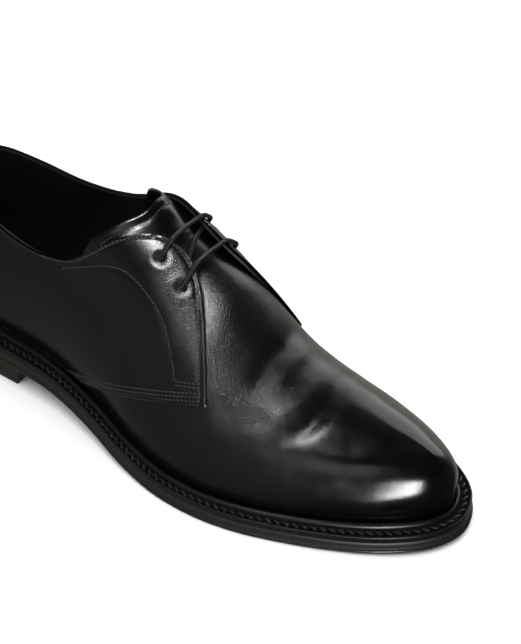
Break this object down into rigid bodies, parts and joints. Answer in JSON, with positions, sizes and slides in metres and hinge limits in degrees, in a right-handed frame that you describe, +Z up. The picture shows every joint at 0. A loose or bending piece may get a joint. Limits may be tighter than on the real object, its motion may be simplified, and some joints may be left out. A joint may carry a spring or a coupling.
{
  "type": "derby shoe",
  "caption": "Low black leather lace-up dress shoe with open-laced quarters, a raised tongue, a stitched welt all round, a slim sole and a low heel.",
  "frame": {"origin": "on the floor, under the middle of the shoe's bounding box", "axes": "+X to the toe, +Y to the inner side of the foot, +Z up"},
  "size_m": [0.304, 0.1058, 0.1096],
  "materials": {
    "upper_leather": "smooth black calf, polished, semi-gloss with a brighter toe",
    "tongue_leather": "smooth black calf, semi-gloss",
    "insole_leather": "dark matt sock leather",
    "welt_leather": "black, satin, stitched",
    "sole_rubber": "satin black edge",
    "heel_rubber": "satin black",
    "lace_cord": "black waxed round cord"
  },
  "bodies": {
    "root": {"upper": "upper_leather", "tongue": "tongue_leather", "insole": "insole_leather", "welt": "welt_leather", "outsole": "sole_rubber", "heel": "heel_rubber", "laces": "lace_cord"}
  },
  "joints": []
}
